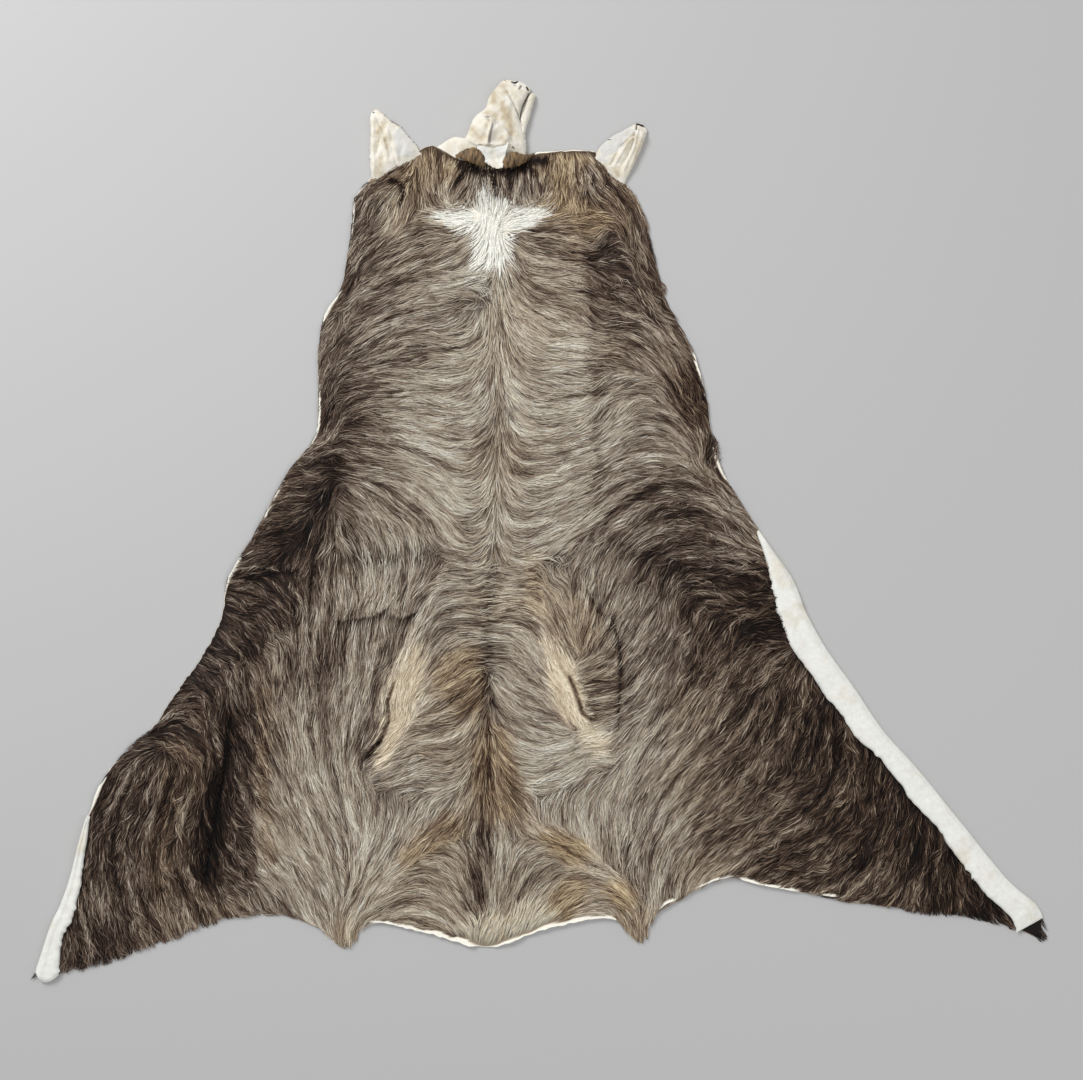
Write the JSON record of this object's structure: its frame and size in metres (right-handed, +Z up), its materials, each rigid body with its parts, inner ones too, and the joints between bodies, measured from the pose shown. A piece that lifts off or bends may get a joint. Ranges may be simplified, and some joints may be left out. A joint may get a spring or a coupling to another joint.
{
  "type": "waterbuck cape",
  "caption": "Tanned antelope cape laid out flat, hair side up: haired neck, chest and shoulder skin with turned edges, and the muzzle, lip and ear skins pulled inside out.",
  "frame": {"origin": "centre of the bounding box in plan, on the floor that the cape lies on", "axes": "+Z up, out of the coat; +Y from the tail end towards the head; +X towards the right of a viewer who looks down on the coat with the head up"},
  "size_m": [1.6914, 1.4927, 0.028],
  "materials": {
    "haired_side": "coarse grizzled grey-brown coat on tanned skin",
    "flesh_side": "matt, bare flesh side of tanned skin"
  },
  "bodies": {
    "root": {"hide": "haired_side", "face_skin": "flesh_side", "lower_lip": "flesh_side", "ear_left": "flesh_side", "ear_right": "flesh_side"}
  },
  "joints": []
}
